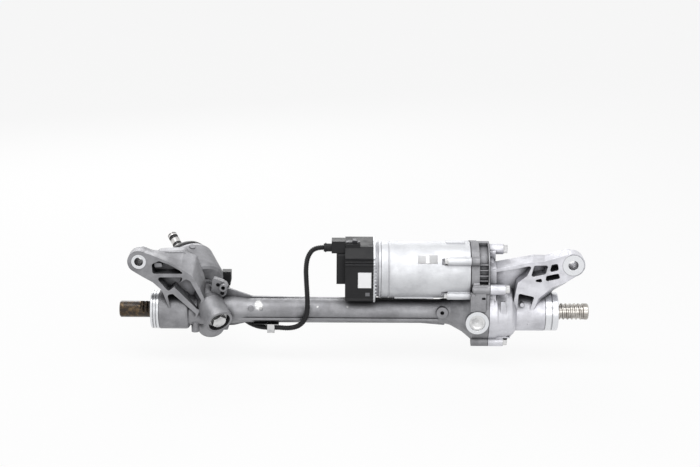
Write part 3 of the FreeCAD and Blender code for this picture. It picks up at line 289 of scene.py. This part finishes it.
def seam_lines(skin, seams, tone):
    """Dark hairlines across the rack, where two castings meet."""
    x = skin.axes()[0]
    for seam_x in seams:
        gap = (x > seam_x - SEAM_HALF_WIDTH) * (x < seam_x + SEAM_HALF_WIDTH)
        tone = skin.blend(gap * 0.85, tone, SEAM_DARK)
    return tone


def chalk_and_highlight_marks(skin, marks, tone):
    """Dabs of chalk on the front of the tube, and small white spots painted as the highlights of its small
    round bosses.
    """
    for place, reach in marks:
        near = 1 - skin.band(distance_from(skin, place), reach * 0.35, reach)
        near = near * (skin.axes()[1] < place.y + CHALK_AND_HIGHLIGHT_DEPTH)
        patch_mask = skin.band(skin.noise(420, 6, 0.85) * near, 0.36, 0.56)
        tone = skin.blend(patch_mask * 0.85, tone, CHALK_AND_HIGHLIGHT_WHITE)
    return tone


def cast_finish(name, bright, dark_tone_and_shade, rounding=0.0006, zones=(), seams=(), chalk_and_highlights=()):
    """Die-cast aluminium: fine blasted grain, cloudy tone, painted shade in the pockets, bright cut faces,
    dark seams.
    """
    skin = Finish(name, Metallic=0.9)
    cloud = skin.band(skin.noise(28, 5, 0.6), 0.35, 0.68)
    flow = skin.band(skin.noise(60, 3, 0.6, (0.25, 1, 1)), 0.42, 0.7)
    grain = skin.noise(1500, 2, 0.6)
    # How open each point is, from ambient occlusion; it drives the painted shade below
    open_sky = skin.band(skin.recess(0.016), 0.25, 0.95)
    middle = tuple((a + b) / 2 for a, b in zip(bright, dark_tone_and_shade))
    tone = skin.blend(cloud * 0.55 + flow * 0.25, bright, middle)
    # Painted shade: the tone falls to the dark colour in pockets and corners, where less light reaches
    tone = skin.blend(1 - open_sky, tone, dark_tone_and_shade)
    tone = skin.blend(skin.band(grain, 0.35, 0.75) * 0.22, tone, dark_tone_and_shade)
    rough = 0.44 + cloud * 0.10 + grain * 0.12 + (1 - open_sky) * 0.12
    height = grain * 0.7 + skin.noise(320, 3) * 0.9
    if zones:
        tone, rough, height = cut_faces(skin, zones, tone, rough, height)
    # Chalk, and small painted highlights on the tube's bosses
    tone = chalk_and_highlight_marks(skin, chalk_and_highlights, seam_lines(skin, seams, tone))
    skin.set("Base Color", tone)
    skin.set("Roughness", rough)
    skin.relief(height, 0.0004, 0.45, rounding)
    return skin.material


GREASE_BROWN = (0.018, 0.011, 0.007)
# Painted shade colour for the bands across the shaft's grooves
GROOVE_SHADE_BLACK = (0.02, 0.02, 0.022)


def steel_finish(name, bright, dark_tone_and_shade, rough=0.28, grease=0.0, groove_shade_bands=()):
    """Steel with faint scratches and painted shade in its corners, and grease, or black bands painted as the
    shade in grooves across the pinion's axis, where it has them.
    """
    skin = Finish(name, Metallic=1.0)
    scratch = skin.noise(700, 3, 0.6, (0.15, 1, 1))
    stain = skin.band(skin.noise(75, 5, 0.65), 0.42, 0.66)
    # Painted shade: corners and pockets go darker, where less light reaches
    corner_shade = 1 - skin.band(skin.recess(0.004), 0.3, 0.9)
    tone = skin.blend(stain * 0.7, bright, dark_tone_and_shade)
    if grease:
        # Grease in patches, with the painted shade in corners laid on in the same brown
        patch_mask = (skin.band(skin.noise(110, 5, 0.7), 0.36, 0.6) * grease + corner_shade * 0.6).clamped()
        tone = skin.blend(patch_mask, tone, GREASE_BROWN)
        skin.set("Metallic", 1 - patch_mask * 0.75)
        skin.set("Roughness", rough + stain * 0.12 - patch_mask * 0.08)
    else:
        # Painted shade in the corners
        tone = skin.blend(corner_shade * 0.75, tone, dark_tone_and_shade)
        skin.set("Roughness", rough + stain * 0.14 + scratch * 0.08)
    # Painted shade: black bands across the shaft where its grooves are
    for low, high in groove_shade_bands:
        reach = skin.along(PINION, PINION_AXIS)
        tone = skin.blend((reach > low * MM) * (reach < high * MM) * 0.93, tone, GROOVE_SHADE_BLACK)
    skin.set("Base Color", tone)
    skin.relief(scratch, 0.0002, 0.3, 0.0004)
    return skin.material


def plastic_finish(name, tone, worn, rough=0.48, grain_scale=900):
    """Moulded black plastic with an eroded grain and patches of dust."""
    skin = Finish(name, Specular_IOR_Level=0.3)
    grain = skin.noise(grain_scale, 3, 0.6)
    dust = skin.band(skin.noise(50, 5, 0.6), 0.45, 0.75)
    skin.set("Base Color", skin.blend(dust * 0.5 + grain * 0.2, tone, worn))
    skin.set("Roughness", rough + dust * 0.16 + grain * 0.1)
    skin.relief(grain, 0.0003, 0.35, 0.0006)
    return skin.material


def rubber_finish(name):
    """Black rubber with a dull bloom."""
    skin = Finish(name, Specular_IOR_Level=0.35)
    bloom = skin.band(skin.noise(70, 5, 0.6), 0.4, 0.7)
    fine = skin.noise(1100, 2)
    skin.set("Base Color", skin.blend(bloom * 0.6, (0.012, 0.012, 0.013), (0.035, 0.034, 0.033)))
    skin.set("Roughness", 0.62 + bloom * 0.16 + fine * 0.06)
    skin.relief(fine, 0.0003, 0.3)
    return skin.material


CASE_SEAM = at(220, 0, 0).x
MOTOR_SEAM = at(189.6, 0, 0).x
COLLAR = 0.0328
LEFT_ZONES = [
    ("collar", at(-319.8, 0, 0), -COLLAR),
    ("seat", at(-350, -30, 90), 0.0122),
    ("seat", at(200.6, -49, -5.2), 0.0192),
]
RIGHT_ZONES = [("collar", at(313.4, 0, 0), COLLAR), ("seat", at(355.5, -30, 88), 0.0174)]
# Chalk on the front of the tube, then two small white spots painted as the highlights of small round bosses
CHALK_AND_HIGHLIGHTS = [(at(-157, -18, 12), 0.013), (at(-60, -18, 11), 0.003), (at(-11, -18, 11), 0.003)]
# Black bands on the input shaft, painted as the shade in its grooves, in millimetres along the pinion's axis
SHAFT_GROOVE_SHADE_BANDS = [(138, 144), (154, 161), (164.5, 166)]

CAST_LEFT = cast_finish(
    "left_casting", (0.345, 0.345, 0.36), (0.035, 0.035, 0.038), 0.0007, LEFT_ZONES, [CASE_SEAM], CHALK_AND_HIGHLIGHTS,
)
CAST_RIGHT = cast_finish(
    "right_casting", (0.72, 0.72, 0.76), (0.09, 0.09, 0.10), 0.0007, RIGHT_ZONES, [CASE_SEAM],
)
MOTOR_SKIN = cast_finish(
    "motor_skin", (0.68, 0.69, 0.71), (0.31, 0.31, 0.33), 0.0008, seams=[MOTOR_SEAM],
)
GROUND = steel_finish("ground_steel", (0.60, 0.58, 0.56), (0.30, 0.28, 0.27), 0.22)
SHAFT = steel_finish("input_shaft_steel", (0.62, 0.61, 0.60), (0.12, 0.12, 0.12), 0.18, 0.0, SHAFT_GROOVE_SHADE_BANDS)
SCREW = steel_finish("screw_steel", (0.52, 0.50, 0.47), (0.20, 0.18, 0.16), 0.24)
GREASED = steel_finish("greased_bar", (0.16, 0.115, 0.07), (0.03, 0.02, 0.014), 0.26, 0.95)
ZINC = steel_finish("zinc_plate", (0.66, 0.66, 0.66), (0.36, 0.36, 0.37), 0.34)
POLISHED = steel_finish("polished_steel", (0.72, 0.72, 0.73), (0.45, 0.45, 0.46), 0.12)
LAMINATION = steel_finish("lamination", (0.34, 0.34, 0.36), (0.16, 0.16, 0.17), 0.4)
BLACK = plastic_finish("black_plastic", (0.006, 0.006, 0.007), (0.016, 0.016, 0.018), 0.42)
CONDUIT = plastic_finish("conduit", (0.005, 0.005, 0.006), (0.014, 0.014, 0.015), 0.42)
LABEL = plastic_finish("blank_label", (0.88, 0.88, 0.89), (0.80, 0.80, 0.81), 0.55)
FOIL = steel_finish("blank_foil", (0.90, 0.90, 0.91), (0.80, 0.80, 0.81), 0.5)
GREY_PAD = plastic_finish("grey_pad", (0.16, 0.16, 0.17), (0.10, 0.10, 0.11), 0.5)
BLACKENED = steel_finish("blackened_clip", (0.05, 0.05, 0.055), (0.02, 0.02, 0.022), 0.35)
PIN = steel_finish("tinned_pin", (0.70, 0.68, 0.62), (0.45, 0.42, 0.36), 0.25)
RUBBER = rubber_finish("rubber")
BOARD = plastic_finish("board", (0.02, 0.12, 0.05), (0.05, 0.2, 0.1), 0.3)

NODE_FINISH = {
    "rack_housing": CAST_LEFT, "gear_housing": CAST_RIGHT,
    "ecu_flange": MOTOR_SKIN, "motor_housing": MOTOR_SKIN,
    "ball_screw": SCREW, "rack_bar": GREASED, "input_shaft": SHAFT,
    "pinion_shaft": GROUND, "torsion_bar": GROUND, "ball_nut": GROUND, "motor_shaft": GROUND,
    "bearing_lock_ring": GROUND, "rack_yoke": GROUND, "yoke_spring": GROUND,
    "pinion_end_plug": ZINC, "inspection_plug": ZINC, "yoke_plug": ZINC, "housing_bolts": ZINC,
    "motor_bolts": ZINC, "nut_pulley": ZINC, "motor_pulley": ZINC,
    "motor_stator": LAMINATION, "motor_rotor": LAMINATION, "connector_clip": BLACKENED,
    "ecu_cover": BLACK, "ecu_connector_block": BLACK, "harness_connector": BLACK,
    "sensor_connector": BLACK, "sensor_cover": BLACK, "rack_bush": BLACK, "torque_sensor": BLACK,
    "harness_clip": BLACK, "sensor_harness": CONDUIT, "circuit_board": BOARD,
    "dust_seal": RUBBER, "motor_seal": RUBBER, "toothed_belt": RUBBER,
}


def dress_nodes():
    """Each solid takes its finish, and the balls and bearings, which have none of their own, are polished."""
    for name, item in NODES.items():
        material = NODE_FINISH.get(name, POLISHED)
        item.data.materials.clear()
        item.data.materials.append(material)


# Pieces that the frame leaves plain

def new_piece(name, shape, material, body, smooth=True):
    """Mesh object from a finished bmesh, in its place in the frame."""
    bmesh.ops.remove_doubles(shape, verts=shape.verts, dist=1e-6)
    bmesh.ops.recalc_face_normals(shape, faces=shape.faces)
    mesh = bpy.data.meshes.new(name)
    shape.to_mesh(mesh)
    shape.free()
    mesh.materials.append(material)
    if smooth:
        mesh.shade_smooth()
    piece = linked(name, mesh)
    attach(piece, body)
    return piece


def spun(profile, origin, axis, steps=72):
    """Closed turned shape from (distance along the axis, radius) points."""
    side = axis.orthogonal().normalized()
    shape = bmesh.new()
    verts = [shape.verts.new(origin + axis * along + side * radius) for along, radius in profile]
    edges = [shape.edges.new((verts[i], verts[(i + 1) % len(verts)])) for i in range(len(verts))]
    bmesh.ops.spin(
        shape, geom=verts + edges, cent=origin, axis=axis, angle=math.tau, steps=steps,
        use_merge=True, use_duplicate=False,
    )
    return shape


def block(shape, low, high):
    """Adds a box between two corners."""
    place = Matrix.Translation((low + high) / 2) @ Matrix.Diagonal((*(high - low), 1))
    bmesh.ops.create_cube(shape, size=1, matrix=place)


def plate(low, high, rounding, segments=3):
    """Box between two corners with its edges rounded."""
    shape = bmesh.new()
    block(shape, low, high)
    bmesh.ops.bevel(
        shape, geom=shape.edges[:], offset=rounding, affect="EDGES", segments=segments,
        profile=0.5, material=-1,
    )
    return shape


def linked(name, data):
    """Object at the origin, in the scene."""
    item = bpy.data.objects.new(name, data)
    bpy.context.collection.objects.link(item)
    return item


# Route of the harness in rack millimetres, from the control unit's plug to the sensor's connector
HARNESS_ROUTE = [
    (-50.0, -12.0, 111.0), (-65.0, -12.0, 111.0), (-76.0, -17.0, 98.0), (-79.0, -22.0, 79.0),
    (-78.0, -26.0, 57.0), (-76.5, -29.0, 34.0), (-76.0, -30.0, 13.0), (-79.0, -28.0, -6.0),
    (-90.0, -23.0, -20.5), (-107.0, -17.5, -26.5), (-126.0, -13.5, -26.0), (-146.0, -8.0, -28.5),
    (-164.0, 3.0, -29.0), (-181.0, 18.0, -25.0), (-197.0, 35.0, -16.0), (-208.5, 50.0, -1.0),
    (-214.3, 60.9, 12.9), (-214.3, 60.9, 24.9),
]
HARNESS_RADIUS = 4.2 * MM
HARNESS_PITCH = 3.0 * MM
RING_SIDES = 16


def conduit_ring():
    """One corrugation of the conduit, from valley to valley along X."""
    valley = HARNESS_RADIUS * 0.82
    outline = [(0.0, valley), (0.18, valley), (0.36, HARNESS_RADIUS), (0.82, HARNESS_RADIUS), (1.0, valley)]
    shape = bmesh.new()
    verts = [shape.verts.new((share * HARNESS_PITCH, 0, radius)) for share, radius in outline]
    edges = [shape.edges.new(pair) for pair in zip(verts, verts[1:])]
    bmesh.ops.spin(
        shape, geom=verts + edges, cent=(0, 0, 0), axis=(1, 0, 0), angle=math.tau, steps=RING_SIDES,
        use_merge=True, use_duplicate=False,
    )
    bmesh.ops.remove_doubles(shape, verts=shape.verts, dist=1e-6)
    return shape


def baked(item):
    """Mesh of an object with its modifiers worked out."""
    bpy.context.view_layer.update()
    graph = bpy.context.evaluated_depsgraph_get()
    return bpy.data.meshes.new_from_object(item.evaluated_get(graph), depsgraph=graph)


def harness_guide():
    """Spline that the harness follows."""
    line = bpy.data.curves.new("harness_line", "CURVE")
    line.dimensions = "3D"
    line.resolution_u = 12
    spline = line.splines.new("NURBS")
    spline.points.add(len(HARNESS_ROUTE) - 1)
    for point, place in zip(spline.points, HARNESS_ROUTE):
        point.co = (*at(*place), 1)
    spline.order_u = 3
    spline.use_endpoint_u = True
    return linked("harness_line", line)


def rings_along(guide):
    """Corrugations repeated and bent along the guide, closed at both ends."""
    shape = conduit_ring()
    mesh = bpy.data.meshes.new("conduit_ring")
    shape.to_mesh(mesh)
    shape.free()
    ring = linked("conduit_ring", mesh)
    rows = ring.modifiers.new("rows", "ARRAY")
    rows.fit_type = "FIT_CURVE"
    rows.curve = guide
    rows.use_relative_offset = False
    rows.use_constant_offset = True
    rows.constant_offset_displace = (HARNESS_PITCH, 0, 0)
    rows.use_merge_vertices = True
    rows.merge_threshold = 1e-5
    bend = ring.modifiers.new("bend", "CURVE")
    bend.object = guide
    bend.deform_axis = "POS_X"
    finished = bmesh.new()
    finished.from_mesh(baked(ring))
    bpy.data.objects.remove(ring)
    ends = [edge for edge in finished.edges if edge.is_boundary]
    bmesh.ops.holes_fill(finished, edges=ends, sides=0)
    return finished


def make_harness():
    """Corrugated conduit from the control unit to the sensor head."""
    guide = harness_guide()
    path = [tuple(vertex.co) for vertex in baked(guide).vertices]
    shape = rings_along(guide)
    bpy.data.objects.remove(guide)
    piece = new_piece("sensor_harness_conduit", shape, CONDUIT, "housing")
    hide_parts("sensor_harness")


def make_harness_clip():
    """Strip under the tube and the bent bracket that hangs the conduit from it."""
    strip = plate(at(-166, -14, -21.5), at(-124, -5, -19.6), 0.4 * MM)
    first = new_piece("clip_strip", strip, BLACK, "housing", False)
    left, right = -143, -131
    front, back = -18, -3.2
    bottom, top = -34.4, -19.8
    sheet = 1.2
    shape = bmesh.new()
    block(shape, at(left, front, bottom + sheet), at(right, front + sheet, top))
    block(shape, at(left, back - sheet, bottom + sheet), at(right, back, top))
    block(shape, at(left, front, bottom), at(right, back, bottom + sheet))
    new_piece("clip_bracket", shape, ZINC, "housing", False)
    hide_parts("harness_clip")


MOTOR_RADIUS = 46.6 * MM
LABEL_LIFT = 0.02 * MM
LABEL_SHEET = 0.1 * MM


def make_labels():
    """Blank labels on the motor and the control unit, where the real ones are printed."""
    low, high = [math.asin((at(0, 0, z).z - MOTOR.z) / MOTOR_RADIUS) for z in (91.6, 104.0)]
    start = MOTOR + Vector((0, -math.cos(low), math.sin(low))) * (MOTOR_RADIUS + LABEL_LIFT)
    shape = bmesh.new()
    ends = [shape.verts.new((at(x, 0, 0).x, start.y, start.z)) for x in (103, 135)]
    edge = shape.edges.new(ends)
    bmesh.ops.spin(
        shape, geom=ends + [edge], cent=MOTOR, axis=(-1, 0, 0), angle=high - low, steps=10,
        use_merge=False, use_duplicate=False,
    )
    bmesh.ops.solidify(shape, geom=shape.faces[:], thickness=LABEL_SHEET)
    new_piece("motor_label", shape, FOIL, "housing")
    label = plate(at(6, -43.85, 52), at(27.5, -43.5, 78), LABEL_SHEET, 1)
    new_piece("ecu_label", label, LABEL, "housing", False)
    pad = plate(at(18, -43.3, 38), at(25, -42.9, 44), LABEL_SHEET, 1)
    new_piece("ecu_pad", pad, GREY_PAD, "housing", False)


PIN_FRONT, PIN_BACK = -27, -20
PIN_STEP = 3.7
PIN_ROW_STEP = 10
PIN_HALF_WIDTH = 0.55
PIN_HALF_HEIGHT = 0.4


def make_pins():
    """Contact pins inside the two open sockets of the connector block, two rows of five in each."""
    shape = bmesh.new()
    for socket_z in (62, 84):
        for row in range(2):
            for column in range(5):
                y = -19.5 + column * PIN_STEP
                z = socket_z + row * PIN_ROW_STEP
                low = at(PIN_FRONT, y - PIN_HALF_WIDTH, z - PIN_HALF_HEIGHT)
                high = at(PIN_BACK, y + PIN_HALF_WIDTH, z + PIN_HALF_HEIGHT)
                block(shape, low, high)
    new_piece("socket_pins", shape, PIN, "housing", False)


# Along the pinion's axis and radius, in millimetres: rim, dome, neck, seal seat and bore
DOME_OUTLINE = [
    (96, 33.9), (102, 33.9), (102, 38.2), (103, 38.8), (107, 38.8),
    (108.5, 38), (112, 36.2), (115, 32.6), (117, 27.5), (117.8, 24.2),
    (119, 23.4), (121.2, 23), (122, 22), (122, 17.15), (110, 17.15), (110, 14), (96, 14),
]


def make_sensor_dome():
    """Domed black cap of the sensor head, with a step and the neck that holds the input seal."""
    profile = [(along * MM, radius * MM) for along, radius in DOME_OUTLINE]
    shape = spun(profile, PINION, PINION_AXIS, 96)
    dome = new_piece("sensor_dome", shape, BLACK, "housing")
    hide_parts("sensor_cover")


# Camera, floor and light

CAMERA_LENS = 82.3
CAMERA_DISTANCE = 2640.0
CAMERA_RISE = math.radians(17.5)
CAMERA_DIP = math.radians(15.48)
CAMERA_ROLL = math.radians(0.34)
CAMERA_SIDE = -7.4
SIGHT = at(0, 0, 35)
FLOOR_DROP = 0.030
FLOOR_HALF = 6.0
FLOOR_WHITE = 0.88
SKY_STRENGTH = 0.42


def make_camera():
    """Long lens a little above the rack, as the photograph was taken."""
    camera = linked("camera", bpy.data.cameras.new("camera"))
    back = Vector((0, -math.cos(CAMERA_RISE), math.sin(CAMERA_RISE))) * CAMERA_DISTANCE * MM
    camera.location = SIGHT + back + Vector((CAMERA_SIDE, 0, 0)) * MM
    upright = Matrix.Rotation(math.pi / 2 - CAMERA_DIP, 4, "X") @ Matrix.Rotation(CAMERA_ROLL, 4, "Z")
    camera.rotation_euler = upright.to_euler()
    camera.data.lens = CAMERA_LENS
    camera.data.sensor_width = 36
    camera.data.clip_end = 50
    bpy.context.scene.camera = camera


def make_floor():
    """White floor under the part, which keeps its shadow."""
    mesh = bpy.data.meshes.new("floor")
    shape = bmesh.new()
    bmesh.ops.create_grid(shape, x_segments=1, y_segments=1, size=FLOOR_HALF)
    bmesh.ops.translate(shape, verts=shape.verts, vec=Vector((RACK.x, 0, CAD_BOX[0][2] - FLOOR_DROP)))
    shape.to_mesh(mesh)
    shape.free()
    floor = linked("floor", mesh)
    material = bpy.data.materials.new("pale_floor")
    material.use_nodes = True
    material.node_tree.nodes.clear()
    sheet = Graph(material.node_tree)
    matt = sheet.node("BsdfDiffuse", {}, {"Color": (0.8, 0.8, 0.8, 1)})
    white = sheet.node("Emission", {}, {"Color": (1, 1, 1, 1), "Strength": 1.0})
    mixed = sheet.node("MixShader", {}, {0: sheet.looked_at() * FLOOR_WHITE, 1: matt, 2: white})
    sheet.node("OutputMaterial", {}, {"Surface": mixed})
    mesh.materials.append(material)


def add_lamp(name, place, aim, size, power):
    """Soft rectangular lamp turned to a point."""
    lamp = linked(name, bpy.data.lights.new(name, "AREA"))
    lamp.data.shape = "RECTANGLE"
    lamp.data.size, lamp.data.size_y = size
    lamp.data.energy = power
    lamp.location = place
    lamp.rotation_euler = (aim - place).to_track_quat("-Z", "Y").to_euler()


def make_light():
    """White backdrop, with a softer sky for what it lights, and three lamps."""
    world = bpy.data.worlds.new("studio")
    bpy.context.scene.world = world
    world.use_nodes = True
    world.node_tree.nodes.clear()
    sky = Graph(world.node_tree)
    soft = sky.node("Background", {}, {"Color": (1, 1, 1, 1), "Strength": SKY_STRENGTH})
    white = sky.node("Background", {}, {"Color": (1, 1, 1, 1), "Strength": 1.0})
    mixed = sky.node("MixShader", {}, {0: sky.looked_at(), 1: soft, 2: white})
    sky.node("OutputWorld", {}, {"Surface": mixed})
    middle = at(0, 0, 40)
    add_lamp("top_light", middle + Vector((-0.2, -0.5, 1.6)), middle, (2.4, 1.0), 20)
    add_lamp("front_light", middle + Vector((0.5, -2.0, 0.5)), middle, (1.6, 0.9), 11)
    add_lamp("rear_light", middle + Vector((-0.6, 1.6, 0.9)), middle, (1.6, 0.8), 14)


dress_nodes()
make_harness()
make_harness_clip()
make_sensor_dome()
make_labels()
make_pins()
make_camera()
make_floor()
make_light()

bpy.context.scene.view_settings.view_transform = "Standard"
